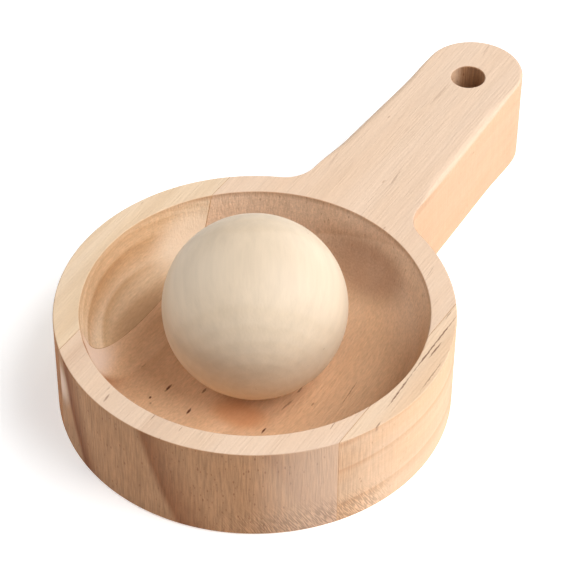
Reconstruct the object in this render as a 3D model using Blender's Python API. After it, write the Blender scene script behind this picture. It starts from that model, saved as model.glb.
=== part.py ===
"""A ball-balancing hand paddle: a round dish and a straight handle cut from one edge-glued pine panel,
and a loose wooden ball that rolls on the dish's curved floor.

Frame: metres, +Z up. The origin is the dish's centre on the underside that rests on a table, and +Y
runs along the handle to the hanging hole. The panel is three boards glued side by side, so each board is
a solid of its own.
"""

import math

import bmesh
import bpy
from mathutils import Vector

# Panel and its three boards.
PANEL_THICKNESS = 0.030
LEFT_BOARD_WIDTH = 0.0193  # the strip that the left board covers, in from the dish's edge
RIGHT_BOARD_WIDTH = 0.0093
GLUE_GAP = 0.0003  # left between two boards for the glue line

# Dish.
DISH_RADIUS = 0.054
RIM_WIDTH = 0.007
DISH_FLOOR_THICKNESS = 0.005  # at the centre, the thinnest place
DISH_FLOOR_CURVE_RADIUS = 0.116
DISH_BLEND_RADIUS = 0.017  # between the floor and the wall
DISH_WALL_DRAFT = math.radians(14.0)
DISH_ARRIS = 0.0004  # how far the dish's edges are rounded over

# Handle.
HANDLE_REACH = 0.081  # from the dish's outer wall to the tip
HANDLE_END_WIDTH = 0.0292
HANDLE_TAPER = math.radians(2.2)  # each side, wider towards the dish
HANDLE_ARRIS = 0.0025
HANDLE_END_ARRIS = 0.0010
ARRIS_FADE_LENGTH = 0.016  # over which one arris size turns into the next
ROOT_FILLET_RADIUS = 0.010
HANG_HOLE_RADIUS = 0.005
HANG_HOLE_SETBACK = 0.018  # from the tip to the hole's centre
HANG_HOLE_ARRIS = 0.0004

# Ball.
BALL_RADIUS = 0.025
BALL_CLEARANCE = 0.0003  # between the ball and the dish floor

# How finely round shapes are divided. The dish has a point on each axis, so QUADRANT_STEPS is a whole number.
QUADRANT_STEPS = 24
DISH_STEPS = 4 * QUADRANT_STEPS
HANDLE_END_STEPS = 16
HANG_HOLE_STEPS = 32
FILLET_STEPS = 8
SIDE_STEPS = 10
ARRIS_STEPS = 3
FLOOR_STEPS = 8
BLEND_STEPS = 8
BALL_STEPS = 48
CUTTER_OVERRUN = 0.010  # how far a cutter runs past the wood
MERGE_DISTANCE = 1e-6
SHARP_ANGLE = math.radians(25.0)  # two faces that meet at more than this keep a crisp edge

# Places that follow from the sizes above.
DISH_MOUTH_RADIUS = DISH_RADIUS - RIM_WIDTH
FLOOR_CENTRE_Z = DISH_FLOOR_THICKNESS + DISH_FLOOR_CURVE_RADIUS
LEFT_GLUE_X = -(DISH_RADIUS - LEFT_BOARD_WIDTH)
RIGHT_GLUE_X = DISH_RADIUS - RIGHT_BOARD_WIDTH
TIP_Y = DISH_RADIUS + HANDLE_REACH
END_RADIUS = HANDLE_END_WIDTH / 2
END_CENTRE = Vector((0.0, TIP_Y - END_RADIUS))
HANG_HOLE_CENTRE = Vector((0.0, TIP_Y - HANG_HOLE_SETBACK))
BALL_SWING_RADIUS = DISH_FLOOR_CURVE_RADIUS - BALL_CLEARANCE - BALL_RADIUS


def clear_scene():
    for obj in list(bpy.data.objects):
        bpy.data.objects.remove(obj)


def polar(angle, radius=1.0):
    return Vector((math.cos(angle), math.sin(angle))) * radius


def arc(centre, radius, start, end, steps):
    """Points and their directions from the centre, at equal steps from one angle to the other, ends included."""
    for step in range(steps + 1):
        direction = polar(start + (end - start) * step / steps)
        yield centre + direction * radius, direction


def smooth_step(value):
    share = min(max(value, 0.0), 1.0)
    return share * share * (3.0 - 2.0 * share)


def root_fillet():
    """Centre of the right fillet, and the angles at which it leaves the dish and meets the handle's side."""
    side_normal = polar(HANDLE_TAPER)
    down_side = Vector((side_normal.y, -side_normal.x))
    start = END_CENTRE + side_normal * (END_RADIUS + ROOT_FILLET_RADIUS)
    half_b = start.dot(down_side)
    reach = DISH_RADIUS + ROOT_FILLET_RADIUS
    run = -half_b - math.sqrt(half_b**2 - start.length_squared + reach**2)
    centre = start + down_side * run
    return centre, math.atan2(-centre.y, -centre.x), math.atan2(-side_normal.y, -side_normal.x)


def right_half_outline():
    """(point, outward normal) from the dish's far edge at -Y round the right side to the handle's tip."""
    fillet_centre, dish_angle, side_angle = root_fillet()
    meets_dish = math.atan2(fillet_centre.y, fillet_centre.x)
    far_steps = round(DISH_STEPS * meets_dish / math.tau)
    dish_centre = Vector((0.0, 0.0))
    points = list(arc(dish_centre, DISH_RADIUS, -math.pi / 2, 0.0, QUADRANT_STEPS))
    points += list(arc(dish_centre, DISH_RADIUS, 0.0, meets_dish, far_steps))[1:]
    fillet = arc(fillet_centre, ROOT_FILLET_RADIUS, dish_angle, side_angle, FILLET_STEPS)
    points += [(point, -direction) for point, direction in fillet][1:]
    side_normal = polar(HANDLE_TAPER)
    side_start = points[-1][0]
    side_end = END_CENTRE + side_normal * END_RADIUS
    for step in range(1, SIDE_STEPS):
        points.append((side_start.lerp(side_end, step / SIDE_STEPS), side_normal))
    points += list(arc(END_CENTRE, END_RADIUS, HANDLE_TAPER, math.pi / 2, HANDLE_END_STEPS))
    return points


def arris_size(y):
    """How far the top and bottom edges are rounded over at a place along the handle: little on the dish and
    its fillets, most where a hand holds the handle, and less again round the tip."""
    grip_start = root_fillet()[0].y
    grip = smooth_step((y - grip_start) / ARRIS_FADE_LENGTH)
    tip = smooth_step((y - END_CENTRE.y + ARRIS_FADE_LENGTH) / ARRIS_FADE_LENGTH)
    return DISH_ARRIS + (HANDLE_ARRIS - DISH_ARRIS) * grip + (HANDLE_END_ARRIS - HANDLE_ARRIS) * tip


def paddle_blank():
    """The uncut paddle: its outline as a stack of loops, pulled in at the bottom and top to round the edges."""
    right = right_half_outline()
    left = [(Vector((-p.x, p.y)), Vector((-n.x, n.y))) for p, n in reversed(right[1:-1])]
    outline = right + left
    levels = [(step / ARRIS_STEPS * math.pi / 2, False) for step in range(ARRIS_STEPS + 1)]
    levels += [(angle, True) for angle, _ in reversed(levels)]
    shape = bmesh.new()
    loops = []
    for angle, at_top in levels:
        loop = []
        for point, normal in outline:
            arris = arris_size(point.y)
            inset = point - normal * arris * (1.0 - math.sin(angle))
            height = arris * (1.0 - math.cos(angle))
            z = PANEL_THICKNESS - height if at_top else height
            loop.append(shape.verts.new((inset.x, inset.y, z)))
        loops.append(loop)
    shape.faces.new(list(reversed(loops[0])))
    shape.faces.new(loops[-1])
    for lower, upper in zip(loops, loops[1:]):
        for i, corner in enumerate(lower):
            j = (i + 1) % len(lower)
            shape.faces.new((corner, lower[j], upper[j], upper[i]))
    return finished_mesh(shape, "paddle_blank")


def dish_profile():
    """(radius, height) points of the hollow from the floor's centre out to the mouth: a shallow spherical
    floor, a round blend, a drafted wall and a softened edge."""
    mouth = Vector((DISH_MOUTH_RADIUS, PANEL_THICKNESS))
    down_wall = Vector((-math.sin(DISH_WALL_DRAFT), -math.cos(DISH_WALL_DRAFT)))
    into_dish = Vector((down_wall.y, -down_wall.x))
    floor_centre = Vector((0.0, FLOOR_CENTRE_Z))
    start = mouth + into_dish * DISH_BLEND_RADIUS - floor_centre
    half_b = start.dot(down_wall)
    reach = DISH_FLOOR_CURVE_RADIUS - DISH_BLEND_RADIUS
    run = -half_b + math.sqrt(half_b**2 - start.length_squared + reach**2)
    blend_centre = floor_centre + start + down_wall * run
    to_blend = blend_centre - floor_centre
    floor_end = math.atan2(to_blend.y, to_blend.x)
    wall_angle = math.atan2(-into_dish.y, -into_dish.x)
    floor = arc(floor_centre, DISH_FLOOR_CURVE_RADIUS, -math.pi / 2, floor_end, FLOOR_STEPS)
    blend = arc(blend_centre, DISH_BLEND_RADIUS, floor_end, wall_angle, BLEND_STEPS)
    points = [point for point, _ in floor] + [point for point, _ in blend][1:]
    points[0].x = 0.0
    points.append(mouth + down_wall * DISH_ARRIS)
    points.append(mouth + Vector((DISH_ARRIS, 0.0)))
    return points


def turned_mesh(name, profile, steps):
    """A closed solid turned about Z from (radius, height) points that start and end on the axis, bottom first."""
    shape = bmesh.new()
    verts = [shape.verts.new((point.x, 0.0, point.y)) for point in profile]
    edges = [shape.edges.new(pair) for pair in zip(verts, verts[1:])]
    bmesh.ops.spin(
        shape,
        geom=verts + edges,
        axis=(0.0, 0.0, 1.0),
        cent=(0.0, 0.0, 0.0),
        angle=math.tau,
        steps=steps,
        use_merge=True,
    )
    bmesh.ops.remove_doubles(shape, verts=shape.verts, dist=MERGE_DISTANCE)
    return finished_mesh(shape, name)


def finished_mesh(shape, name):
    bmesh.ops.recalc_face_normals(shape, faces=shape.faces)
    if shape.calc_volume(signed=True) < 0.0:
        bmesh.ops.reverse_faces(shape, faces=shape.faces)
    mesh = bpy.data.meshes.new(name)
    shape.to_mesh(mesh)
    shape.free()
    return mesh


def box_mesh(name, low, high):
    shape = bmesh.new()
    bmesh.ops.create_cube(shape, size=1.0)
    for vert in shape.verts:
        vert.co = Vector(low).lerp(Vector(high), 0.5) + vert.co * (Vector(high) - Vector(low))
    return finished_mesh(shape, name)


def add_object(name, mesh, location=(0.0, 0.0, 0.0)):
    obj = bpy.data.objects.new(name, mesh)
    obj.location = location
    bpy.context.scene.collection.objects.link(obj)
    return obj


def add_cutter(name, mesh, location=(0.0, 0.0, 0.0)):
    cutter = add_object(name, mesh, location)
    cutter.hide_render = True
    cutter.display_type = "WIRE"
    return cutter


def dish_cutter():
    top = PANEL_THICKNESS + CUTTER_OVERRUN
    profile = dish_profile()
    profile.append(Vector((profile[-1].x, top)))
    profile.append(Vector((0.0, top)))
    return add_cutter("dish_cutter", turned_mesh("dish_cutter", profile, DISH_STEPS))


def hang_hole_cutter():
    """A plain drill with its ends flared, so that both edges of the hole come out softened."""
    flare = HANG_HOLE_RADIUS + HANG_HOLE_ARRIS
    top = PANEL_THICKNESS + CUTTER_OVERRUN
    profile = [
        Vector((0.0, -CUTTER_OVERRUN)),
        Vector((flare, -CUTTER_OVERRUN)),
        Vector((flare, 0.0)),
        Vector((HANG_HOLE_RADIUS, HANG_HOLE_ARRIS)),
        Vector((HANG_HOLE_RADIUS, PANEL_THICKNESS - HANG_HOLE_ARRIS)),
        Vector((flare, PANEL_THICKNESS)),
        Vector((flare, top)),
        Vector((0.0, top)),
    ]
    mesh = turned_mesh("hang_hole_cutter", profile, HANG_HOLE_STEPS)
    return add_cutter("hang_hole_cutter", mesh, (*HANG_HOLE_CENTRE, 0.0))


def board_slab(name, low_x, high_x):
    """The stretch of the panel that one board covers."""
    low = (low_x, -DISH_RADIUS - CUTTER_OVERRUN, -CUTTER_OVERRUN)
    high = (high_x, TIP_Y + CUTTER_OVERRUN, PANEL_THICKNESS + CUTTER_OVERRUN)
    return add_cutter(name, box_mesh(name, low, high))


def wood_material(name, colour, roughness):
    material = bpy.data.materials.new(name)
    material.use_nodes = True
    shader = material.node_tree.nodes["Principled BSDF"]
    shader.inputs["Base Color"].default_value = (*colour, 1.0)
    shader.inputs["Roughness"].default_value = roughness
    shader.inputs["Metallic"].default_value = 0.0
    return material


def shade_by_angle(mesh):
    mesh.shade_smooth()
    mesh.set_sharp_from_angle(angle=SHARP_ANGLE)


def add_board(name, blank, slab, cutters, material):
    """One board: the blank kept only within the board's slab, with the dish and any hole cut out of it."""
    board = add_object(name, blank.copy())
    cuts = [(slab, "INTERSECT")] + [(cutter, "DIFFERENCE") for cutter in cutters]
    for cutter, operation in cuts:
        modifier = board.modifiers.new(cutter.name, "BOOLEAN")
        modifier.operation = operation
        modifier.object = cutter
    graph = bpy.context.evaluated_depsgraph_get()
    cut_mesh = bpy.data.meshes.new_from_object(board.evaluated_get(graph))
    board.modifiers.clear()
    board.data = cut_mesh
    cut_mesh.name = name
    cut_mesh.materials.clear()
    cut_mesh.materials.append(material)
    shade_by_angle(cut_mesh)
    return board


def build_boards():
    blank = paddle_blank()
    outside = DISH_RADIUS + CUTTER_OVERRUN
    half_gap = GLUE_GAP / 2
    left_slab = board_slab("left_slab", -outside, LEFT_GLUE_X - half_gap)
    centre_slab = board_slab("centre_slab", LEFT_GLUE_X + half_gap, RIGHT_GLUE_X - half_gap)
    right_slab = board_slab("right_slab", RIGHT_GLUE_X + half_gap, outside)
    dish = dish_cutter()
    hole = hang_hole_cutter()
    yellow_pine = wood_material("yellow_pine", (0.72, 0.50, 0.32), 0.55)
    pink_pine = wood_material("pink_pine", (0.70, 0.44, 0.28), 0.58)
    peach_pine = wood_material("peach_pine", (0.72, 0.47, 0.30), 0.58)
    add_board("left_board", blank, left_slab, [dish], yellow_pine)
    add_board("centre_board", blank, centre_slab, [dish, hole], pink_pine)
    add_board("right_board", blank, right_slab, [dish], peach_pine)


def build_ball():
    """The ball hangs from an empty at the centre of the floor's curve, about which it rolls across the dish."""
    roll_axis = add_object("ball_roll_axis", None, (0.0, 0.0, FLOOR_CENTRE_Z))
    turned = arc(Vector((0.0, 0.0)), BALL_RADIUS, -math.pi / 2, math.pi / 2, BALL_STEPS // 2)
    profile = [point for point, _ in turned]
    profile[0].x = 0.0
    profile[-1].x = 0.0
    mesh = turned_mesh("ball", profile, BALL_STEPS)
    mesh.materials.append(wood_material("cream_wood", (0.78, 0.62, 0.44), 0.45))
    mesh.shade_smooth()
    ball = add_object("ball", mesh, (0.0, 0.0, -BALL_SWING_RADIUS))
    ball.parent = roll_axis


def main():
    clear_scene()
    build_boards()
    build_ball()


main()
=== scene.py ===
"""The looks of the ball-balancing paddle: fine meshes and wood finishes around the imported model.

Meshes are in metres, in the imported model's own frame: the origin is the dish's centre on the underside, +Y
runs along the handle and +Z is up. The patterns of the wood are in millimetres in that same frame.
"""

from __future__ import annotations

import enum
import logging
import math
from collections.abc import Mapping, Sequence
from dataclasses import dataclass

import bmesh
import bpy
from mathutils import Matrix, Quaternion, Vector, noise

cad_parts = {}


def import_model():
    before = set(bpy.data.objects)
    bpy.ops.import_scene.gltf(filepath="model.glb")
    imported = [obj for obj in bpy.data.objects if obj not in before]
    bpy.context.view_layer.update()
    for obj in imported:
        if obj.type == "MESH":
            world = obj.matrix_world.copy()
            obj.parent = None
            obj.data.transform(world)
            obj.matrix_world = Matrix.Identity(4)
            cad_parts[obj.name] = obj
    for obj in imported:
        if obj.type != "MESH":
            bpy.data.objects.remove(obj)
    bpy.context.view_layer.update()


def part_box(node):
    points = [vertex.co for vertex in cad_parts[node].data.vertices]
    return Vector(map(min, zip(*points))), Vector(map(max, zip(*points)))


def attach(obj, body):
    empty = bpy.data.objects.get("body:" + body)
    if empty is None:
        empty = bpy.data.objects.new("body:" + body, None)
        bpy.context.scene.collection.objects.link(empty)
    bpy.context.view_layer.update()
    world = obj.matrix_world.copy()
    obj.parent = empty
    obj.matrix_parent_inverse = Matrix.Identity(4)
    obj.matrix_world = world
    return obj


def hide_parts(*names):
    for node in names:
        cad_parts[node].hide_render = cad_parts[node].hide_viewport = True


LOG = logging.getLogger("paddle")
MM = 0.001

Socket = bpy.types.NodeSocket
Colour = tuple[float, float, float, float]
Point = tuple[float, float, float]
Shape = bmesh.types.BMesh
Vert = bmesh.types.BMVert
Material = bpy.types.Material


class Board(enum.Enum):
    """The three boards of the glued panel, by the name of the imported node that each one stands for."""

    LEFT = "left_board"
    CENTRE = "centre_board"
    RIGHT = "right_board"


def linear(hex_colour: str) -> Colour:
    """Turn an sRGB hex colour into the linear colour that a shader takes.

    Args:
        hex_colour: Six hex digits after a hash sign.

    Returns:
        Linear red, green and blue, and an alpha of 1.
    """
    channels = [int(hex_colour[i : i + 2], 16) / 255.0 for i in (1, 3, 5)]
    red, green, blue = (c / 12.92 if c <= 0.04045 else ((c + 0.055) / 1.055) ** 2.4 for c in channels)
    return red, green, blue, 1.0


def smooth_step(value: float) -> float:
    """Ease a value from 0 to 1, held at both ends."""
    share = min(max(value, 0.0), 1.0)
    return share * share * (3.0 - 2.0 * share)


# Wood: what its patterns are, and the surface that they are drawn on. All of it is in millimetres.

TINT = {"data_type": "RGBA"}
SHADE = {"data_type": "RGBA", "blend_type": "MULTIPLY"}
EASED = {"interpolation_type": "SMOOTHSTEP"}
TIMES = {"operation": "MULTIPLY"}


@dataclass(frozen=True)
class GrowthRing:
    """One year's growth, which darkens slowly outwards from the pith and ends in a crisp edge.

    Attributes:
        edge: How far from the pith it ends.
        depth: How dark its latewood gets, from 0 to 1.
        fade: How far in from its edge the darkening starts.
    """

    edge: float
    depth: float
    fade: float


@dataclass(frozen=True)
class Rings:
    """The growth rings that cross one piece of wood.

    Attributes:
        pith: A point on the line that the rings go round, which runs along the grain.
        years: The rings, nearest the pith first.
        grain: The direction of the grain, of length 1.
        crisp: How wide a ring's outer edge is.
        wander: How far a ring strays from round.
        stray: Over how long a stretch it strays, along X, Y and Z.
        begins: Between which two places along Y they come in.
        ends: Between which two places along Y they go out again.
    """

    pith: Point
    years: tuple[GrowthRing, ...]
    grain: Point = (0.0, 1.0, 0.0)
    crisp: float = 0.5
    wander: float = 0.5
    stray: Point = (16.0, 90.0, 16.0)
    begins: tuple[float, float] = (-200.0, -100.0)
    ends: tuple[float, float] = (200.0, 300.0)


@dataclass(frozen=True)
class Streak:
    """One resin canal laid open by the cut, which shows as a thin dark line along the grain.

    Attributes:
        start: Where it begins.
        end: Where it ends, at the same height, as X and Y.
        width: How wide it is.
        depth: How dark it is, from 0 to 1.
        stretch: Its half length over its run, more than a half since its ends fade out.
        reach: How far above and below it still shows.
    """

    start: Point
    end: tuple[float, float]
    width: float = 0.75
    depth: float = 0.95
    stretch: float = 0.65
    reach: float = 2.5


@dataclass(frozen=True)
class Patch:
    """A soft-edged place where the wood has another tone, or where light or shade is painted into its
    colour.

    Attributes:
        centre: Its middle.
        reach: How far it reaches along X, Y and Z.
        tone: The colour there: the wood's own, or the painted light or shade.
        share: How much of that colour shows in the middle, from 0 to 1.
    """

    centre: Point
    reach: Point
    tone: str
    share: float


class WoodSurface:
    """A material in the making, with the patterns that the woods share."""

    def __init__(self, name: str, turn: Point = (0.0, 0.0, 0.0)) -> None:
        """Start a material whose patterns follow the piece's own coordinates.

        Args:
            name: The material's name.
            turn: How far the patterns' own axes are turned, as Euler angles.
        """
        self.material = bpy.data.materials.new(name)
        self.material.use_nodes = True
        self.tree = self.material.node_tree
        self.shader = self.tree.nodes["Principled BSDF"]
        coordinates = self.add("TexCoord").node.outputs
        own = [coordinates["Object"], (0.0, 0.0, 0.0), turn, (MM, MM, MM)]
        self.place = self.add("Mapping", own, vector_type="TEXTURE")
        self.x, self.y, self.z = self.add("SeparateXYZ", [self.place]).node.outputs
        faces = self.add("VectorMath", [coordinates["Normal"]], operation="ABSOLUTE")
        _, self.endwise, self.level = self.add("SeparateXYZ", [faces]).node.outputs

    def add(
        self, kind: str, feeds: Sequence[object] | Mapping[int | str, object] = (), **settings: object
    ) -> Socket:
        """Add one shader node with its settings and links.

        Args:
            kind: Blender's name for the node's type, without "ShaderNode".
            feeds: What goes into its inputs, in order or by name or number: a socket to link or a value.
            **settings: The node's own properties.

        Returns:
            The first output that the node uses.
        """
        node = self.tree.nodes.new("ShaderNode" + kind)
        for name, value in settings.items():
            setattr(node, name, value)
        for slot, value in feeds.items() if isinstance(feeds, Mapping) else enumerate(feeds):
            if isinstance(value, Socket):
                self.tree.links.new(value, node.inputs[slot])
            else:
                node.inputs[slot].default_value = value
        return next(output for output in node.outputs if output.enabled)

    def spread(self, cell: Point, seed: float) -> Socket:
        """The place counted in cells of a size, shifted by a seed so that no two patterns line up."""
        shift = (seed, seed * 1.7, seed * 2.3)
        return self.add("Mapping", [self.place, shift, (0.0, 0.0, 0.0), tuple(1.0 / c for c in cell)])

    def mottle(self, cell: Point, seed: float, low: float = 0.3, high: float = 0.7) -> Socket:
        """Soft random patches, drawn out along the axes in which the cell is long.

        Args:
            cell: The size of a patch along X, Y and Z.
            seed: Which patches.
            low: The raw value that counts as 0.
            high: The raw value that counts as 1.

        Returns:
            A value from 0 to 1.
        """
        raw = self.add("TexNoise", {"Vector": self.spread(cell, seed), "Scale": 1.0, "Detail": 2.0})
        return self.add("MapRange", [raw, low, high])

    def specks(self, cell: Point, seed: float, size: float, share: float) -> Socket:
        """Small separate marks, at most one in each cell and drawn out as the cell is.

        Args:
            cell: How far apart they are along X, Y and Z.
            seed: Which marks.
            size: How much of its cell a mark fills, from 0 to 1.
            share: The share of the cells that hold one.

        Returns:
            A value from 0, clear, to 1, in the middle of a mark.
        """
        cells = self.add("TexVoronoi", {"Vector": self.spread(cell, seed), "Scale": 1.0}).node
        pick = self.add("SeparateXYZ", [cells.outputs["Color"]])
        kept = self.add("Math", [pick, share], operation="LESS_THAN")
        core = size * 0.4
        near = self.add("MapRange", [cells.outputs["Distance"], size, core])
        return self.add("Math", [near, kept], **TIMES)

    def shaded(self, colour: Socket, pattern: Socket, darkest: float, lightest: float) -> Socket:
        """A colour made darker or lighter by a pattern from 0 to 1."""
        shade = self.add("MapRange", [pattern, 0.0, 1.0, darkest, lightest])
        return self.add("Mix", {0: 1.0, 6: colour, 7: shade}, **SHADE)

    def lateness(self, rings: Rings) -> Socket:
        """Work out how much latewood there is at each place.

        Args:
            rings: The growth rings that cross the piece.

        Returns:
            A value from 0 to 1.
        """
        from_pith = self.add("VectorMath", [self.place, rings.pith], operation="SUBTRACT")
        run = self.add("VectorMath", [from_pith, rings.grain], operation="DOT_PRODUCT").node.outputs["Value"]
        beside = self.add("VectorMath", {0: rings.grain, "Scale": run}, operation="SCALE")
        square = self.add("VectorMath", [from_pith, beside], operation="SUBTRACT")
        radius = self.add("VectorMath", [square], operation="LENGTH").node.outputs["Value"]
        bend = self.mottle(rings.stray, seed=rings.years[0].edge, low=0.25, high=0.75)
        strayed = self.add("Math", [bend, 2.0 * rings.wander, radius], operation="MULTIPLY_ADD")
        first = rings.years[0].edge - rings.years[0].fade
        last = rings.years[-1].edge + 4.0 * rings.crisp
        spot = self.add("MapRange", [strayed, first + rings.wander, last + rings.wander])
        ramp = self.add("ValToRGB", [spot]).node
        stops = ramp.color_ramp.elements
        stops[0].color = stops[1].color = (0.0, 0.0, 0.0, 1.0)
        reached, least = first, 0.01
        for year in rings.years:
            falls = ((year.edge - year.fade, 0.0), (year.edge, year.depth), (year.edge + rings.crisp, 0.0))
            for reach, depth in falls:
                reached = max(reached + least, reach)
                stops.new((reached - first) / (last - first)).color = (depth, depth, depth, 1.0)
        begun = self.add("MapRange", [self.y, *rings.begins])
        left = self.add("MapRange", [self.y, *rings.ends, 1.0, 0.0])
        span = self.add("Math", [begun, left], **TIMES)
        return self.add("Math", [ramp.outputs["Color"], span], **TIMES)

    def streaked(self, colour: Socket, streaks: Sequence[Streak], resin: str) -> Socket:
        """A colour with every streak of a list drawn on it at its own place.

        Args:
            colour: The colour so far.
            streaks: The streaks.
            resin: Their colour.

        Returns:
            The new colour.
        """
        fray = self.mottle((0.3, 1.6, 0.3), seed=31.0)
        shaken = self.add("VectorMath", {0: (0.25, 0.0, 0.0), "Scale": fray}, operation="SCALE")
        place = self.add("VectorMath", [self.place, shaken], operation="ADD")
        drawn: Socket | float = 0.0
        for streak in streaks:
            start, end = Vector(streak.start), Vector((*streak.end, streak.start[2]))
            run = end - start
            lean = math.atan2(-run.x, run.y)
            size = (streak.width / 2, run.length * streak.stretch, streak.reach)
            own = [place, (start + end) / 2, (0.0, 0.0, lean), size]
            own = self.add("Mapping", own, vector_type="TEXTURE")
            far = self.add("VectorMath", [own], operation="LENGTH").node.outputs["Value"]
            shown = self.add("MapRange", [far, 1.0, 0.5, 0.0, streak.depth])
            drawn = self.add("Math", [drawn, shown], operation="MAXIMUM")
        return self.add("Mix", {0: drawn, 6: colour, 7: linear(resin)}, **TINT)

    def patched(self, colour: Socket, patches: Sequence[Patch]) -> Socket:
        """A colour with every soft patch of a list laid over it.

        Args:
            colour: The colour so far.
            patches: The patches.

        Returns:
            The new colour.
        """
        for patch in patches:
            own = [self.place, patch.centre, (0.0, 0.0, 0.0), patch.reach]
            own = self.add("Mapping", own, vector_type="TEXTURE")
            far = self.add("VectorMath", [own], operation="LENGTH").node.outputs["Value"]
            shown = self.add("MapRange", [far, 1.0, 0.35, 0.0, patch.share], **EASED)
            colour = self.add("Mix", {0: shown, 6: colour, 7: linear(patch.tone)}, **TINT)
        return colour

    def finish(
        self, colour: Socket, height: Socket, relief: float, roughness: float, specular: float
    ) -> Material:
        """Join the patterns to the shader.

        Args:
            colour: The surface's colour.
            height: Its height, from 0 to 1.
            relief: How many millimetres a height of 1 is.
            roughness: How rough it is.
            specular: How strong its reflections are.

        Returns:
            The finished material.
        """
        bump = self.add("Bump", {"Strength": 0.6, "Distance": relief * MM, "Height": height})
        self.tree.links.new(colour, self.shader.inputs["Base Color"])
        self.tree.links.new(bump, self.shader.inputs["Normal"])
        self.shader.inputs["Roughness"].default_value = roughness
        self.shader.inputs["Specular IOR Level"].default_value = specular
        return self.material


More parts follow.
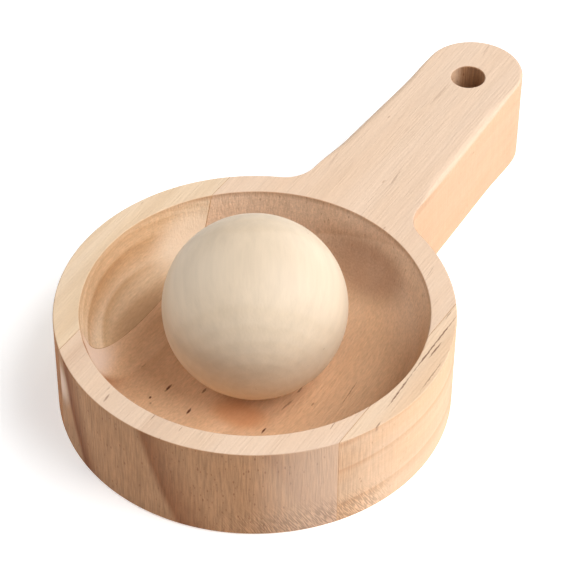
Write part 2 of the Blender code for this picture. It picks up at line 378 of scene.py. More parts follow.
@dataclass(frozen=True)
class SandedPine:
    """Radiata pine board, glued, cut to shape by a router and sanded by hand with nothing on it.

    That gives a dry, matt surface with pale wood on top, darker and redder wood wherever the cutter crossed
    the ends of the fibres, upright cutter lines on the walls, and short brown lines where it opened resin
    canals.

    Attributes:
        name: The finish's name.
        slot: The record's material slot; not used.
        early: The pale wood of spring.
        late: The darker wood at a ring's edge.
        blush: The colour of the board's broad warm patches.
        rings: The board's growth rings, one set for each stretch in which they run another way.
        streaks: The resin canals that the cut laid open.
        patches: Where the board has another tone, and where light or shade is painted into its colour.
        on_top: The share of a ring's darkness that shows on level faces.
        end_tone: What the wood's colour is multiplied by on faces across the fibres.
        side_tone: What it is multiplied by on upright faces along the fibres.
        inside_tone: What it is multiplied by in the dish, where the cutter left it rougher.
        resin: The colour of the streaks.
        pore: The colour of the small pores.
        saw_marked: Whether the saw that squared the board up left its marks on the outer wall.
        outer_wall: How far from the dish's axis the outer wall is.
        dish_mouth: How far from it the dish's mouth is.
        saw_line: The size of a saw mark: its width, its length and its depth.
        saw_lean: How far the saw marks lean.
        saw_start: Between which two places round the wall they come in.
        saw_end: Between which two places they go out again.
        saw_top: Between which two heights they come in, going down.
        dash_middle: The middle of their stretch of the wall.
        dash_reach: How far the stretch reaches to either side.
    """

    name: str
    slot: str
    early: str
    late: str
    blush: str
    rings: tuple[Rings, ...]
    streaks: tuple[Streak, ...] = ()
    patches: tuple[Patch, ...] = ()
    on_top: float = 0.2
    end_tone: str = "#CAAE93"
    side_tone: str = "#F4E6D8"
    inside_tone: str = "#FDEDD9"
    resin: str = "#5E3220"
    pore: str = "#7E5136"
    saw_marked: bool = False
    outer_wall: float = 54.0
    dish_mouth: float = 47.0
    saw_line: Point = (0.34, 2.8, 1.0)
    saw_lean: float = math.radians(30.0)
    saw_start: tuple[float, float] = (-70.0, -50.0)
    saw_end: tuple[float, float] = (-12.0, -26.0)
    saw_top: tuple[float, float] = (13.0, 3.0)
    dash_middle: float = -66.0
    dash_reach: float = 15.0

    def material(self) -> Material:
        """Build the material.

        Returns:
            The material.
        """
        wood = WoodSurface(self.name)
        colour, height = self.grain(wood)
        colour, height = self.walls(wood, colour, height)
        colour = wood.patched(colour, self.patches)
        if self.saw_marked:
            colour, height = self.saw_marks(wood, colour, height)
        colour = wood.streaked(colour, self.streaks, self.resin)
        return wood.finish(colour, height, relief=0.14, roughness=0.75, specular=0.2)

    def grain(self, wood: WoodSurface) -> tuple[Socket, Socket]:
        """The rings, the fibres and the small resin canals.

        Args:
            wood: The surface to draw on.

        Returns:
            The colour, and the surface's height from 0 to 1.
        """
        warm = wood.mottle((11.0, 90.0, 11.0), seed=5.0)
        colour = wood.add("Mix", {0: warm, 6: linear(self.early), 7: linear(self.blush)}, **TINT)
        shown = wood.add("MapRange", [wood.level, 0.98, 0.6, self.on_top, 1.0])
        for rings in self.rings:
            late = wood.add("Math", [wood.lateness(rings), shown], **TIMES)
            colour = wood.add("Mix", {0: late, 6: colour, 7: linear(self.late)}, **TINT)
        # Pine fibres are 0.03 mm wide, too fine to show, so bundles of them 0.5 mm wide stand in for them.
        fine = wood.mottle((0.5, 9.0, 0.5), seed=11.0)
        colour = wood.shaded(colour, fine, darkest=0.97, lightest=1.015)
        broad = wood.mottle((2.4, 50.0, 2.4), seed=12.0)
        colour = wood.shaded(colour, broad, darkest=0.965, lightest=1.02)
        sanding = wood.mottle((0.5, 0.8, 0.5), seed=13.0)
        colour = wood.shaded(colour, sanding, darkest=0.965, lightest=1.02)
        canals = wood.specks((2.6, 9.0, 2.6), seed=7.0, size=0.11, share=0.14)
        canals = wood.add("Math", [canals, 0.4], **TIMES)
        colour = wood.add("Mix", {0: canals, 6: colour, 7: linear(self.pore)}, **TINT)
        return colour, fine

    def walls(self, wood: WoodSurface, colour: Socket, height: Socket) -> tuple[Socket, Socket]:
        """The faces across the fibres, with upright lines and torn pores, most of all on the outer wall.

        Args:
            wood: The surface to draw on.
            colour: Its colour so far.
            height: Its height so far.

        Returns:
            The new colour and height.
        """
        across = wood.add("MapRange", [wood.endwise, 0.15, 0.75], **EASED)
        upright = wood.add("MapRange", [wood.level, 0.7, 0.3], **EASED)
        flat = wood.add("VectorMath", [wood.place, (1.0, 1.0, 0.0)], **TIMES)
        from_axis = wood.add("VectorMath", [flat], operation="LENGTH").node.outputs["Value"]
        inside = wood.add("MapRange", [from_axis, self.dish_mouth + 0.2, self.dish_mouth - 0.4])
        fuzz = wood.mottle((0.5, 2.6, 0.5), seed=25.0)
        rough = wood.shaded(colour, fuzz, darkest=0.94, lightest=1.13)
        warmth = wood.add("MapRange", [wood.level, 0.4, 0.9, 0.3, 1.0])
        rough = wood.add("Mix", {0: warmth, 6: rough, 7: linear(self.inside_tone)}, **SHADE)
        colour = wood.add("Mix", {0: inside, 6: colour, 7: rough}, **TINT)
        ends = wood.add("MapRange", [inside, 0.0, 1.0, 1.0, 0.0])
        ends = wood.add("Math", [across, ends], **TIMES)
        colour = wood.add("Mix", {0: ends, 6: colour, 7: linear(self.end_tone)}, **SHADE)
        long_side = wood.add("Math", [upright, across], operation="SUBTRACT", use_clamp=True)
        colour = wood.add("Mix", {0: long_side, 6: colour, 7: linear(self.side_tone)}, **SHADE)
        outside = wood.add("MapRange", [inside, 0.0, 1.0, 1.0, 0.6])
        torn = wood.add("MapRange", [across, 0.0, 1.0, 0.2, 1.0])
        for part in (outside, upright):
            torn = wood.add("Math", [torn, part], **TIMES)
        # The cutter's lines are drawn coarser than they are, 0.5 mm apart for 0.2 mm, to show at all.
        lines = wood.mottle((0.5, 0.5, 6.0), seed=21.0)
        lined = wood.shaded(colour, lines, darkest=0.76, lightest=1.08)
        bands = wood.mottle((2.2, 2.2, 60.0), seed=22.0)
        lined = wood.shaded(lined, bands, darkest=0.9, lightest=1.04)
        pores = wood.specks((1.2, 1.2, 2.4), seed=23.0, size=0.27, share=0.3)
        seen = wood.add("Math", [pores, 0.65], **TIMES)
        marked = wood.add("Mix", {0: seen, 6: lined, 7: linear(self.pore)}, **TINT)
        colour = wood.add("Mix", {0: torn, 6: colour, 7: marked}, **TINT)
        relief = wood.add("Math", [lines, pores], operation="SUBTRACT")
        return colour, wood.add("Mix", {0: torn, 2: height, 3: relief})

    def saw_marks(self, wood: WoodSurface, colour: Socket, height: Socket) -> tuple[Socket, Socket]:
        """Slanted saw marks low on the outer wall, and short torn dashes to the left of them.

        Args:
            wood: The surface to draw on.
            colour: Its colour so far.
            height: Its height so far.

        Returns:
            The new colour and height.
        """
        turn = wood.add("Math", [wood.y, wood.x], operation="ARCTAN2")
        along = wood.add("Math", [turn, self.outer_wall], **TIMES)
        flat = wood.add("CombineXYZ", [along, wood.z])
        own = [flat, (0.0, 0.0, 0.0), (0.0, 0.0, self.saw_lean), self.saw_line]
        slanted = wood.add("Mapping", own, vector_type="TEXTURE")
        raw = wood.add("TexNoise", {"Vector": slanted, "Scale": 1.0, "Detail": 0.0})
        marks = wood.add("MapRange", [raw, 0.4, 0.62])
        low = wood.add("MapRange", [wood.z, *self.saw_top], **EASED)
        start = wood.add("MapRange", [along, *self.saw_start], **EASED)
        end = wood.add("MapRange", [along, *self.saw_end], **EASED)
        upright = wood.add("MapRange", [wood.level, 0.5, 0.2])
        there = start
        for part in (end, low, upright):
            there = wood.add("Math", [there, part], **TIMES)
        sawn = wood.shaded(colour, marks, darkest=0.74, lightest=1.15)
        colour = wood.add("Mix", {0: there, 6: colour, 7: sawn}, **TINT)
        height = wood.add("Mix", {0: there, 2: height, 3: marks})
        dashes = wood.specks((0.9, 0.9, 2.0), seed=27.0, size=0.26, share=0.5)
        shown = wood.add("Math", [along, self.dash_middle, self.dash_reach], operation="COMPARE")
        for part in (0.6, upright, dashes):
            shown = wood.add("Math", [shown, part], **TIMES)
        return wood.add("Mix", {0: shown, 6: colour, 7: linear(self.pore)}, **TINT), height


LEFT_PINE = SandedPine(
    name="sanded_yellow_pine",
    slot="yellow_pine",
    early="#E3CBB0",
    late="#AE7C42",
    blush="#DFC3A2",
    rings=(
        Rings(
            pith=(-86.0, 0.0, -124.0),
            years=(GrowthRing(147.4, 0.5, 5.0), GrowthRing(153.5, 0.45, 4.5)),
            crisp=0.9,
            ends=(0.0, 24.0),
        ),
        Rings(
            pith=(-86.0, 0.0, -124.0),
            years=(
                GrowthRing(157.5, 0.2, 1.8),
                GrowthRing(159.4, 0.18, 1.0),
                GrowthRing(161.4, 0.22, 1.2),
            ),
        ),
    ),
    patches=(
        Patch((-36.0, -6.0, 11.0), (9.0, 27.0, 4.0), "#A8764A", 0.45),
        Patch((-37.0, 24.0, 19.0), (9.0, 20.0, 10.5), "#F0DAC0", 0.8),
        Patch((-36.8, -39.0, 27.0), (3.5, 3.0, 2.0), "#8E6544", 0.5),
        Patch((-36.8, -39.0, 18.0), (3.5, 3.0, 3.0), "#8E6544", 0.55),
    ),
    on_top=0.5,
    end_tone="#C89B74",
    inside_tone="#FFFAF0",
)

CENTRE_PINE = SandedPine(
    name="sanded_pink_pine",
    slot="pink_pine",
    early="#E0C5AD",
    late="#A5714C",
    blush="#DDBFA4",
    rings=(
        Rings(
            pith=(278.0, 0.0, 111.0),
            years=(
                GrowthRing(259.1, 0.25, 8.0),
                GrowthRing(289.4, 0.75, 10.0),
                GrowthRing(319.3, 1.0, 7.0),
            ),
            crisp=2.0,
            ends=(0.0, 28.0),
        ),
        Rings(
            pith=(-86.2, 0.0, 309.3),
            years=(GrowthRing(300.0, 0.22, 5.0),),
            crisp=0.8,
            begins=(12.0, 34.0),
            ends=(62.0, 80.0),
        ),
    ),
    streaks=(
        Streak((-15.4, -17.8, 7.0), (-15.1, -21.5)),
        Streak((-6.0, -22.5, 7.5), (-5.5, -25.3)),
        Streak((-16.5, -25.9, 9.0), (-16.4, -27.1)),
        Streak((-15.0, -28.0, 9.0), (-15.0, -28.8), depth=0.5),
        Streak((-25.0, -16.3, 8.5), (-24.8, -18.6), width=0.4, depth=0.4),
        Streak((-7.5, -12.8, 6.0), (-7.3, -15.3), depth=0.7),
        Streak((14.9, -17.8, 7.5), (15.2, -20.5)),
        Streak((14.3, 1.6, 6.0), (14.3, -0.9), depth=0.6),
        Streak((14.7, -4.0, 6.0), (14.3, -9.0), depth=0.5),
        Streak((27.1, 9.1, 8.5), (27.9, -0.2), width=0.4, depth=0.5),
        Streak((20.6, -2.5, 7.0), (20.5, -4.0), depth=0.4),
        Streak((-14.0, -47.5, 30.0), (-13.8, -50.3), depth=0.5),
        Streak((0.0, -47.2, 30.0), (0.0, -49.4), width=0.4, depth=0.45),
        Streak((8.2, -46.9, 30.0), (8.3, -48.8), width=0.4, depth=0.45),
        Streak((40.3, -24.6, 30.0), (40.4, -27.5), width=0.4, depth=0.5),
        Streak((32.5, 39.8, 30.0), (33.0, 35.0), width=0.4, depth=0.3),
        Streak((-3.0, 111.0, 30.0), (-3.0, 100.0), width=0.9, depth=0.2),
        Streak((-3.0, 88.0, 30.0), (-2.8, 84.0), width=0.7, depth=0.12),
        Streak((4.5, 70.0, 30.0), (5.6, 62.0), width=0.8, depth=0.22),
        Streak((-14.5, 68.0, 30.0), (-13.5, 60.0), width=0.7, depth=0.15),
        Streak((-2.0, 134.0, 30.0), (-1.0, 128.0), width=0.8, depth=0.15),
    ),
    patches=(
        Patch((-33.0, -29.0, 19.5), (7.5, 25.0, 10.5), "#EBD3C2", 0.75),
        # Painted shadow and bounce light: the darker, warmer tone on the dish floor just in front of the
        # ball. It is colour, so it stays when the ball rolls away.
        Patch((6.0, -17.0, 6.0), (11.0, 8.0, 4.0), "#D38F5C", 0.6),
        # Painted light: the outer wall is drawn lighter towards the right, where the key lamp falls on it.
        Patch((50.0, -42.0, 15.0), (25.0, 25.0, 60.0), "#E4CAB5", 0.4),
        # Painted shadow: the ball's shade on the dish's back wall, behind the ball and to its right, drawn
        # as a darker tone.
        Patch((10.0, 40.0, 18.0), (24.0, 13.0, 11.0), "#8A5C3C", 0.55),
    ),
    saw_marked=True,
)

RIGHT_PINE = SandedPine(
    name="sanded_peach_pine",
    slot="peach_pine",
    early="#E3CBB2",
    late="#C08F63",
    blush="#E2C2A2",
    rings=(
        Rings(
            pith=(80.0, 0.0, -127.0),
            years=(
                GrowthRing(137.4, 0.3, 3.0),
                GrowthRing(150.4, 0.35, 2.0),
                GrowthRing(159.9, 0.35, 1.8),
            ),
        ),
    ),
    streaks=(
        Streak((47.3, 25.4, 30.0), (48.0, 1.0), width=0.5, depth=0.75),
        Streak((48.1, 0.5, 30.0), (48.8, -12.5), width=0.45, depth=0.75),
        Streak((48.8, 14.8, 30.0), (48.9, 8.5), width=0.5, depth=0.75),
        Streak((52.5, 8.5, 30.0), (53.0, -2.8), width=0.4, depth=0.5),
        Streak((50.0, -18.5, 30.0), (50.0, -21.0), width=0.5, depth=0.5),
        Streak((45.2, 27.0, 30.0), (45.3, 23.5), width=0.4, depth=0.4),
    ),
    on_top=0.35,
    end_tone="#E6D2C2",
    side_tone="#F8EFE8",
    saw_marked=True,
)


@dataclass(frozen=True)
class TurnedLinden:
    """Linden ball, turned on a lathe and fine-sanded: creamy, even and silky, with little grain."""

    name: str = "turned_linden"
    slot: str = "cream_wood"
    early: str = "#D9C5AC"
    late: str = "#C9AF8C"
    speck: str = "#93765A"
    grain: Point = (0.50, -0.79, -0.34)
    rings: Rings = Rings(
        pith=(0.0, 0.0, 0.0),
        years=tuple(GrowthRing(3.0 + 2.7 * year, 0.14, 2.2) for year in range(8)),
        grain=(0.0, 0.0, 1.0),
        crisp=0.7,
        wander=0.5,
        stray=(9.0, 9.0, 30.0),
    )

    def turn(self) -> Quaternion:
        """The turn that brings the Z axis onto the grain."""
        return Vector(self.grain).to_track_quat("Z", "Y")

    def material(self) -> Material:
        """Build the material.

        Returns:
            The material.
        """
        wood = WoodSurface(self.name, tuple(self.turn().to_euler()))
        late = wood.lateness(self.rings)
        colour = wood.add("Mix", {0: late, 6: linear(self.early), 7: linear(self.late)}, **TINT)
        bands = wood.mottle((3.0, 3.0, 34.0), seed=42.0)
        colour = wood.shaded(colour, bands, darkest=0.945, lightest=1.03)
        clouds = wood.mottle((9.0, 9.0, 14.0), seed=44.0)
        colour = wood.shaded(colour, clouds, darkest=0.98, lightest=1.01)
        fine = wood.mottle((0.6, 0.6, 9.0), seed=41.0)
        colour = wood.shaded(colour, fine, darkest=0.98, lightest=1.01)
        pins = wood.specks((4.5, 4.5, 6.0), seed=43.0, size=0.07, share=0.12)
        pins = wood.add("Math", [pins, 0.4], **TIMES)
        colour = wood.add("Mix", {0: pins, 6: colour, 7: linear(self.speck)}, **TINT)
        return wood.finish(colour, fine, relief=0.03, roughness=0.5, specular=0.4)


@dataclass(frozen=True)
class DriedGlue:
    """White wood glue, squeezed out of the joint and sanded flush: it dries to a thin amber line."""

    name: str = "dried_wood_glue"
    fresh: str = "#C69B72"
    old: str = "#9C6E48"

    def material(self) -> Material:
        """Build the material.

        Returns:
            The material.
        """
        glue = WoodSurface(self.name)
        patches = glue.mottle((3.0, 3.0, 3.0), seed=51.0)
        colour = glue.add("Mix", {0: patches, 6: linear(self.fresh), 7: linear(self.old)}, **TINT)
        return glue.finish(colour, patches, relief=0.02, roughness=0.45, specular=0.4)


# The panel. All of it is in metres.


AXIS = Vector((0.0, 0.0))


def polar(angle: float, radius: float = 1.0) -> Vector:
    """The point at an angle and a radius, in the plane."""
    return Vector((math.cos(angle), math.sin(angle))) * radius


def arc(
    centre: Vector, radius: float, start: float, end: float, steps: int
) -> list[tuple[Vector, Vector]]:
    """Lay points along an arc, both ends included.

    Args:
        centre: The arc's centre.
        radius: Its radius.
        start: The angle at which it starts.
        end: The angle at which it ends.
        steps: How many equal parts it has.

    Returns:
        Each point, with its direction from the centre.
    """
    turns = [polar(start + (end - start) * step / steps) for step in range(steps + 1)]
    return [(centre + turn * radius, turn) for turn in turns]


def ring(shape: Shape, centre: Vector, point: Vector, steps: int) -> list[Vert]:
    """A level ring of vertices round a centre, at a radius and a height."""
    turns = (polar(step / steps * math.tau, point.x) + centre for step in range(steps))
    return [shape.verts.new((*turn, point.y)) for turn in turns]


def bridge(shape: Shape, loops: Sequence[Sequence[Vert]]) -> None:
    """Join each loop to the next one with a band of faces.

    Args:
        shape: The mesh in the making.
        loops: The loops, which all have the same number of corners.
    """
    for lower, upper in zip(loops, loops[1:]):
        for i, corner in enumerate(lower):
            j = (i + 1) % len(lower)
            shape.faces.new((corner, lower[j], upper[j], upper[i]))


def mesh_object(name: str, shape: Shape, material: Material) -> bpy.types.Object:
    """Turn a shape into a smooth-shaded object of one material, and free the shape.

    Args:
        name: The object's name.
        shape: The mesh in the making; its sharp edges are already marked.
        material: What it is made of.

    Returns:
        The object, linked to the scene.
    """
    mesh = bpy.data.meshes.new(name)
    shape.to_mesh(mesh)
    shape.free()
    mesh.shade_smooth()
    mesh.materials.append(material)
    piece = bpy.data.objects.new(name, mesh)
    bpy.context.scene.collection.objects.link(piece)
    return piece


@dataclass
class Panel:
    """The edge-glued panel: a dish and a handle in one outline, split into boards along two glue lines.

    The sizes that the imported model's boxes hold are read from there; the fields are the rest.
    """

    rim_width: float = 0.007
    floor_thickness: float = 0.005
    floor_curve_radius: float = 0.116
    blend_radius: float = 0.017
    wall_draft: float = math.radians(14.0)
    dish_arris: float = 0.0004
    handle_end_width: float = 0.0292
    handle_taper: float = math.radians(2.2)
    handle_arris: float = 0.0025
    handle_end_arris: float = 0.0010
    arris_fade: float = 0.016
    root_fillet_radius: float = 0.010
    hang_hole_radius: float = 0.005
    hang_hole_setback: float = 0.018
    glue_line: float = 0.00014
    crisp_angle: float = math.radians(25.0)
    dish_steps: int = 360
    fillet_steps: int = 20
    side_steps: int = 36
    end_steps: int = 40
    arris_steps: int = 8
    blend_steps: int = 24
    floor_steps: int = 24
    hole_steps: int = 96

    def __post_init__(self) -> None:
        """Read the panel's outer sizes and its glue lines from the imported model."""
        left, centre, right = (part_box(board.value) for board in Board)
        self.dish_radius = -left[0].x
        self.thickness = centre[1].z
        self.tip_y = centre[1].y
        self.glue_planes = ((left[1].x + centre[0].x) / 2, (centre[1].x + right[0].x) / 2)
        self.end_centre = Vector((0.0, self.tip_y - self.handle_end_width / 2))
        self.hole_centre = Vector((0.0, self.tip_y - self.hang_hole_setback))

    def root_fillet(self) -> tuple[Vector, float, float]:
        """Find the fillet between the dish and the handle's right side.

        Returns:
            Its centre, and the angles at which it leaves the dish and meets the handle's side.
        """
        side_normal = polar(self.handle_taper)
        down_side = Vector((side_normal.y, -side_normal.x))
        start = self.end_centre + side_normal * (self.handle_end_width / 2 + self.root_fillet_radius)
        half_b = start.dot(down_side)
        reach = self.dish_radius + self.root_fillet_radius
        run = -half_b - math.sqrt(half_b**2 - start.length_squared + reach**2)
        centre = start + down_side * run
        return centre, math.atan2(-centre.y, -centre.x), math.atan2(-side_normal.y, -side_normal.x)

    def outline(self) -> list[tuple[Vector, Vector]]:
        """Lay out the paddle's outline.

        Returns:
            Points and outward normals all the way round, from the dish's far edge at -Y.
        """
        fillet_centre, dish_angle, side_angle = self.root_fillet()
        meets_dish = math.atan2(fillet_centre.y, fillet_centre.x)
        quadrant = self.dish_steps // 4
        far_steps = round(self.dish_steps * meets_dish / math.tau)
        right = arc(AXIS, self.dish_radius, -math.pi / 2, 0.0, quadrant)
        right += arc(AXIS, self.dish_radius, 0.0, meets_dish, far_steps)[1:]
        fillet = arc(fillet_centre, self.root_fillet_radius, dish_angle, side_angle, self.fillet_steps)
        right += [(point, -direction) for point, direction in fillet[1:]]
        side_normal = polar(self.handle_taper)
        side_start = right[-1][0]
        side_end = self.end_centre + side_normal * (self.handle_end_width / 2)
        for step in range(1, self.side_steps):
            right.append((side_start.lerp(side_end, step / self.side_steps), side_normal))
        end_radius = self.handle_end_width / 2
        right += arc(self.end_centre, end_radius, self.handle_taper, math.pi / 2, self.end_steps)
        left = [(Vector((-p.x, p.y)), Vector((-n.x, n.y))) for p, n in reversed(right[1:-1])]
        return right + left

    def arris_size(self, y: float) -> float:
        """Find how far the top and bottom edges are rounded over at a place along the handle.

        Args:
            y: The place.

        Returns:
            The rounding's radius.
        """
        grip = smooth_step((y - self.root_fillet()[0].y) / self.arris_fade)
        tip = smooth_step((y - self.end_centre.y + self.arris_fade) / self.arris_fade)
        grown = self.dish_arris + (self.handle_arris - self.dish_arris) * grip
        return grown + (self.handle_end_arris - self.handle_arris) * tip

    def side_loops(self) -> list[list[Vector]]:
        """Lay out the outer wall, pulled in where its edges are rounded.

        Returns:
            Loops of points, from the underside up.
        """
        turns = [step / self.arris_steps * math.pi / 2 for step in range(self.arris_steps + 1)]
        levels = [(turn, False) for turn in turns] + [(turn, True) for turn in reversed(turns)]
        outline = [(point, normal, self.arris_size(point.y)) for point, normal in self.outline()]
        loops = []
        for turn, at_top in levels:
            loop = []
            for point, normal, arris in outline:
                inset = point - normal * arris * (1.0 - math.sin(turn))
                height = arris * (1.0 - math.cos(turn))
                loop.append(Vector((*inset, self.thickness - height if at_top else height)))
            loops.append(loop)
        return loops

    def dish_profile(self) -> list[Vector]:
        """Lay out the hollow's section.

        Returns:
            Radii and heights, from the floor's centre out to the mouth.
        """
        mouth = Vector((self.dish_radius - self.rim_width, self.thickness))
        down_wall = Vector((-math.sin(self.wall_draft), -math.cos(self.wall_draft)))
        into_dish = Vector((down_wall.y, -down_wall.x))
        floor_centre = Vector((0.0, self.floor_thickness + self.floor_curve_radius))
        start = mouth + into_dish * self.blend_radius - floor_centre
        half_b = start.dot(down_wall)
        reach = self.floor_curve_radius - self.blend_radius
        run = -half_b + math.sqrt(half_b**2 - start.length_squared + reach**2)
        blend_centre = floor_centre + start + down_wall * run
        to_blend = blend_centre - floor_centre
        floor_end = math.atan2(to_blend.y, to_blend.x)
        wall_angle = math.atan2(-into_dish.y, -into_dish.x)
        floor = arc(floor_centre, self.floor_curve_radius, -math.pi / 2, floor_end, self.floor_steps)
        blend = arc(blend_centre, self.blend_radius, floor_end, wall_angle, self.blend_steps)
        # The mouth's rounded edge turns from the wall's slope to level.
        tangent = self.dish_arris * math.tan((math.pi / 2 - self.wall_draft) / 2)
        edge_centre = mouth + Vector((tangent, -self.dish_arris))
        edge = arc(edge_centre, self.dish_arris, math.pi - self.wall_draft, math.pi / 2, self.arris_steps)
        return [point for point, _ in floor[1:] + blend[1:] + edge]

    def hole_profile(self) -> list[Vector]:
        """Lay out the hanging hole's section, with both its edges rounded.

        Returns:
            Radii and heights, from the underside up.
        """
        wide = self.hang_hole_radius + self.dish_arris
        low = Vector((wide, self.dish_arris))
        high = Vector((wide, self.thickness - self.dish_arris))
        lower = arc(low, self.dish_arris, 1.5 * math.pi, math.pi, self.arris_steps)
        upper = arc(high, self.dish_arris, math.pi, math.pi / 2, self.arris_steps)
        return [point for point, _ in lower + upper]

    def whole(self) -> Shape:
        """Build the paddle in one piece, as one closed mesh.

        Returns:
            The shape, with its normals pointing out.
        """
        shape = bmesh.new()
        sides = [[shape.verts.new(point) for point in loop] for loop in self.side_loops()]
        dish = [ring(shape, AXIS, point, self.dish_steps) for point in self.dish_profile()]
        hole = [ring(shape, self.hole_centre, point, self.hole_steps) for point in self.hole_profile()]
        for loops in (sides, dish, hole):
            bridge(shape, loops)
        bottom = shape.verts.new((0.0, 0.0, self.floor_thickness))
        for i, corner in enumerate(dish[0]):
            shape.faces.new((bottom, dish[0][(i + 1) % self.dish_steps], corner))
        for loops in ((sides[-1], dish[-1], hole[-1]), (sides[0], hole[0])):
            sides_of = ((loop[i - 1], corner) for loop in loops for i, corner in enumerate(loop))
            edges = [shape.edges.get(side) for side in sides_of]
            bmesh.ops.triangle_fill(shape, use_beauty=True, edges=edges, normal=(0.0, 0.0, 1.0))
        bmesh.ops.recalc_face_normals(shape, faces=shape.faces)
        return shape

    def slice(self, whole: Shape, low_x: float | None, high_x: float | None) -> Shape:
        """Cut one slice out of the paddle, between two upright planes across X.

        Args:
            whole: The paddle in one piece, which stays as it is.
            low_x: Where the slice starts, or None at the dish's left edge.
            high_x: Where it ends, or None at the dish's right edge.

        Returns:
            The slice, closed, with its crisp edges marked.
        """
        shape = whole.copy()
        for plane, side in ((low_x, -1.0), (high_x, 1.0)):
            if plane is None:
                continue
            everything = shape.verts[:] + shape.edges[:] + shape.faces[:]
            cut = bmesh.ops.bisect_plane(
                shape,
                geom=everything,
                dist=1e-8,
                plane_co=(plane, 0.0, 0.0),
                plane_no=(side, 0.0, 0.0),
                clear_outer=True,
            )
            edges = [part for part in cut["geom_cut"] if isinstance(part, bmesh.types.BMEdge)]
            bmesh.ops.triangle_fill(shape, use_beauty=True, edges=edges, normal=(side, 0.0, 0.0))
        bmesh.ops.recalc_face_normals(shape, faces=shape.faces)
        self.mark_crisp_edges(shape)
        return shape

    def is_flat(self, face: bmesh.types.BMFace) -> bool:
        """Tell whether a face is part of the top, of the underside or of a cut.

        Args:
            face: The face.

        Returns:
            Whether it is.
        """
        height = face.calc_center_median().z
        level = abs(face.normal.z) > 0.9999 and min(height, self.thickness - height) < 1e-6
        return level or abs(face.normal.x) > 0.999999 and len(face.verts) == 3

    def mark_crisp_edges(self, shape: Shape) -> None:
        """Mark the edges of every flat face, and any sharper than a rounded edge's steps.

        Args:
            shape: The slice to mark.
        """
        for edge in shape.edges:
            flats = [self.is_flat(face) for face in edge.link_faces]
            angle = edge.calc_face_angle(0.0)
            edge.smooth = not (any(flats) != all(flats) or angle > self.crisp_angle)

    def build(self) -> list[bpy.types.Object]:
        """Build the boards and glue lines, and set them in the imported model's place.

        Returns:
            The new pieces.
        """
        whole = self.whole()
        half = self.glue_line / 2
        left_plane, right_plane = self.glue_planes
        spans = {
            Board.LEFT: (None, left_plane - half),
            Board.CENTRE: (left_plane + half, right_plane - half),
            Board.RIGHT: (right_plane + half, None),
        }
        finishes = {Board.LEFT: LEFT_PINE, Board.CENTRE: CENTRE_PINE, Board.RIGHT: RIGHT_PINE}
        pieces = []
        for board, (low_x, high_x) in spans.items():
            finish = finishes[board]
            piece = mesh_object(f"{board.value}_wood", self.slice(whole, low_x, high_x), finish.material())
            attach(piece, "paddle")
            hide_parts(board.value)
            pieces.append(piece)
        glue = DriedGlue().material()
        for name, plane in zip(("left_glue_line", "right_glue_line"), self.glue_planes):
            piece = mesh_object(name, self.slice(whole, plane - half, plane + half), glue)
            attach(piece, "paddle")
            pieces.append(piece)
        whole.free()
        return pieces


@dataclass
class Ball:
    """The loose ball: turned between centres, so its poles are parted off nearly flat.

    Attributes:
        pole_flat: The radius of the flat at each pole.
        unevenness: How deep the sanding dipped below the ball's true round.
        dent_width: How wide a dip is, as a share of the ball's radius.
        steps: How many sides it has round its axis.
    """

    pole_flat: float = 0.0014
    unevenness: float = 0.00006
    dent_width: float = 0.4
    steps: int = 160

    def build(self) -> bpy.types.Object:
        """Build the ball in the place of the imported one.

        Returns:
            The new piece.
        """
        low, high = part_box("ball")
        centre = (low + high) / 2
        radius = (high.z - low.z) / 2
        shape = bmesh.new()
        pole = math.pi / 2 - math.asin(self.pole_flat / radius)
        turned = arc(AXIS, radius, -pole, pole, self.steps // 2)
        loops = [ring(shape, AXIS, point, self.steps) for point, _ in turned]
        bridge(shape, loops)
        shape.faces.new(loops[0])
        shape.faces.new(loops[-1])
        finish = TurnedLinden()
        for vert in shape.verts:
            dent = 0.5 + 0.5 * noise.noise(vert.co / (self.dent_width * radius))
            vert.co *= 1.0 - dent * self.unevenness / radius
            vert.co.rotate(finish.turn())
        bmesh.ops.recalc_face_normals(shape, faces=shape.faces)
        piece = mesh_object("turned_ball", shape, finish.material())
        piece.location = centre
        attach(piece, "ball")
        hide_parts("ball")
        return piece


@dataclass(frozen=True)
class Lamp:
    """One square soft light that faces the paddle.

    Attributes:
        name: Its name.
        azimuth: Where it stands, in degrees from +X towards +Y.
        elevation: How high it stands, in degrees.
        size: The length of its side.
        power: Its power in watts.
        distance: How far away it stands.
    """

    name: str
    azimuth: float
    elevation: float
    size: float
    power: float
    distance: float = 1.3

    def build(self) -> None:
        """Add the light."""
        data = bpy.data.lights.new(self.name, "AREA")
        data.shape = "SQUARE"
        data.size = self.size
        data.energy = self.power
        lamp = bpy.data.objects.new(self.name, data)
        turn, rise = math.radians(self.azimuth), math.radians(self.elevation)
        towards = Vector((*(polar(turn) * math.cos(rise)), math.sin(rise)))
        lamp.location = towards * self.distance
        lamp.rotation_mode = "QUATERNION"
        lamp.rotation_quaternion = towards.to_track_quat("Z", "Y")
        bpy.context.scene.collection.objects.link(lamp)


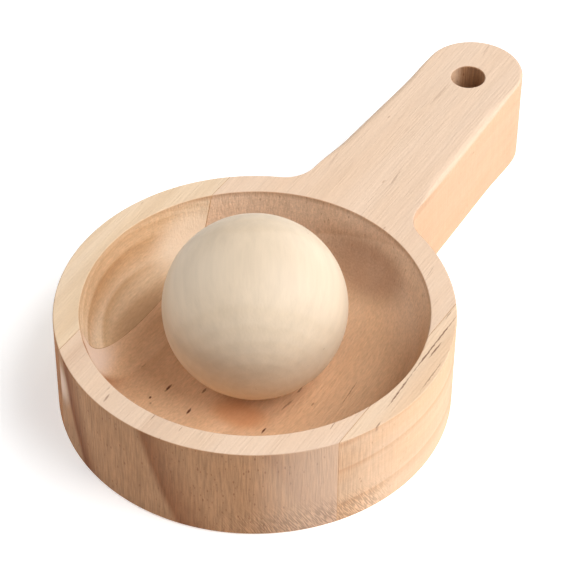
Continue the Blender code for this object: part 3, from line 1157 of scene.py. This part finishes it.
@dataclass
class Studio:
    """A pale table, soft lights and the camera.

    Attributes:
        azimuth: Where the camera stands, in degrees from -Y towards +X.
        distance: How far it stands from its aim.
        table_drop: How far the table lies below the paddle's underside.
        table_glow: How much light of its own the table gives, to stay white.
        sky: The strength of the even light from all round.
    """

    azimuth: float = 31.744
    elevation: float = 43.308
    roll: float = 0.503
    distance: float = 0.68938
    aim: Point = (-0.00213, 0.02011, 0.0200)
    focal_length: float = 156.49
    sensor_width: float = 36.0
    table_reach: float = 3.0
    table_drop: float = 0.0002
    table_glow: float = 0.25
    sky: float = 0.05
    lamps: tuple[Lamp, ...] = (
        Lamp("key", azimuth=14.0, elevation=50.0, size=1.1, power=18.7),
        Lamp("side", azimuth=86.0, elevation=18.0, size=0.7, power=4.6),
        Lamp("low", azimuth=30.0, elevation=18.0, size=0.7, power=3.6),
        Lamp("back", azimuth=195.0, elevation=35.0, size=1.0, power=7.5),
        Lamp("front", azimuth=-60.0, elevation=45.0, size=0.7, power=3.0),
    )

    def floor(self) -> None:
        """The table that the paddle lies on."""
        shape = bmesh.new()
        bmesh.ops.create_grid(shape, x_segments=1, y_segments=1, size=self.table_reach)
        table = WoodSurface("matt_white_table")
        table.shader.inputs["Base Color"].default_value = linear("#FFFFFF")
        table.shader.inputs["Roughness"].default_value = 0.8
        table.shader.inputs["Emission Color"].default_value = linear("#FFFFFF")
        table.shader.inputs["Emission Strength"].default_value = self.table_glow
        floor = mesh_object("table", shape, table.material)
        floor.location.z = -self.table_drop

    def camera(self) -> None:
        """Set up the camera at three-quarter view from the right front."""
        data = bpy.data.cameras.new("camera")
        data.sensor_width = self.sensor_width
        data.lens = self.focal_length
        camera = bpy.data.objects.new("camera", data)
        turn, rise = math.radians(self.azimuth), math.radians(self.elevation)
        back = Vector((math.sin(turn) * math.cos(rise), -math.cos(turn) * math.cos(rise), math.sin(rise)))
        camera.location = Vector(self.aim) + back * self.distance
        camera.rotation_mode = "QUATERNION"
        level = (-back).to_track_quat("-Z", "Y")
        camera.rotation_quaternion = level @ Matrix.Rotation(math.radians(self.roll), 4, "Z").to_quaternion()
        bpy.context.scene.collection.objects.link(camera)
        bpy.context.scene.camera = camera

    def build(self) -> None:
        """Build the whole studio."""
        self.floor()
        for lamp in self.lamps:
            lamp.build()
        world = bpy.data.worlds.new("studio")
        world.use_nodes = True
        world.node_tree.nodes["Background"].inputs["Color"].default_value = (1.0, 1.0, 1.0, 1.0)
        world.node_tree.nodes["Background"].inputs["Strength"].default_value = self.sky
        bpy.context.scene.world = world
        bpy.context.scene.view_settings.view_transform = "Standard"
        self.camera()


def main() -> None:
    """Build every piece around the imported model."""
    logging.basicConfig(level=logging.INFO, format="%(message)s")
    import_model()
    for piece in [*Panel().build(), Ball().build()]:
        LOG.info("%s: %d faces", piece.name, len(piece.data.polygons))
    Studio().build()


if __name__ == "__main__":
    main()
